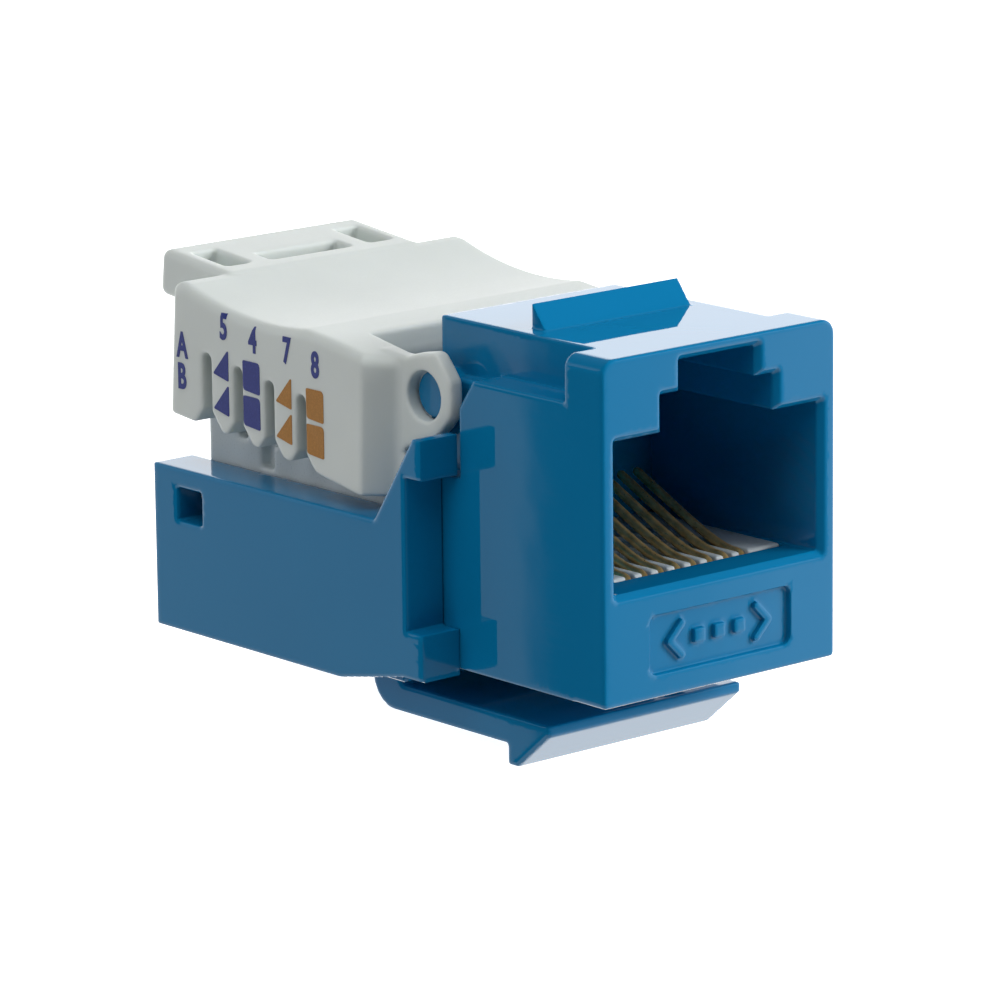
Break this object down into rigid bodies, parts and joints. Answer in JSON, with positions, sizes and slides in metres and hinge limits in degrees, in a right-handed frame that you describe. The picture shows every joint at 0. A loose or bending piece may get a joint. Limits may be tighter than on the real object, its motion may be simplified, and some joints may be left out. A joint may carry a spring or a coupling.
{
  "type": "keystone jack",
  "caption": "Snap-in network jack with an RJ45 port in front and a hinged wire cap that presses the cable's wires onto contacts behind it.",
  "frame": {"origin": "on the flat underside of the housing, in the middle of its width, in the plane of the fixed catch's upright rear face, where the wall plate's edge is held", "axes": "+X across the width with the side marked 5 4 7 8 on -X, +Y from the port back to the cable, +Z from the flexible latch up to the fixed catch"},
  "size_m": [0.0192, 0.0339, 0.0217],
  "materials": {
    "blue_housing": "glossy injection-moulded ABS, mid blue",
    "white_plastic": "satin off-white polycarbonate, slightly translucent",
    "gold_contact": "gold-plated spring wire",
    "tin_blade": "tin-plated phosphor bronze",
    "board": "green solder mask over glass-epoxy"
  },
  "bodies": {
    "housing": {"front_housing": "blue_housing", "rear_shell": "blue_housing", "terminal_base": "white_plastic", "contact_carrier": "white_plastic", "circuit_board": "board", "contact_leg_1": "gold_contact", "contact_leg_2": "gold_contact", "contact_leg_3": "gold_contact", "contact_leg_4": "gold_contact", "contact_leg_5": "gold_contact", "contact_leg_6": "gold_contact", "contact_leg_7": "gold_contact", "contact_leg_8": "gold_contact", "terminal_blade_1": "tin_blade", "terminal_blade_2": "tin_blade", "terminal_blade_3": "tin_blade", "terminal_blade_4": "tin_blade", "terminal_blade_5": "tin_blade", "terminal_blade_6": "tin_blade", "terminal_blade_7": "tin_blade", "terminal_blade_8": "tin_blade"},
    "cap": {"wire_cap": "white_plastic"},
    "latch": {"latch_arm": "blue_housing"},
    "springs": {"contact_spring_1": "gold_contact", "contact_spring_2": "gold_contact", "contact_spring_3": "gold_contact", "contact_spring_4": "gold_contact", "contact_spring_5": "gold_contact", "contact_spring_6": "gold_contact", "contact_spring_7": "gold_contact", "contact_spring_8": "gold_contact"}
  },
  "joints": [
    {"name": "cap_hinge", "type": "hinge", "parent": "housing", "child": "cap", "pos_m": [0, 0.00442, 0.01275], "axis": [1, 0, 0], "range_deg": [-6, 90]},
    {"name": "latch_flex", "type": "hinge", "parent": "housing", "child": "latch", "pos_m": [0, 0.00787, -0.00275], "axis": [-1, 0, 0], "range_deg": [0, 8]},
    {"name": "spring_flex", "type": "hinge", "parent": "housing", "child": "springs", "pos_m": [0, -0.00458, 0.0045], "axis": [-1, 0, 0], "range_deg": [0, 12]}
  ]
}
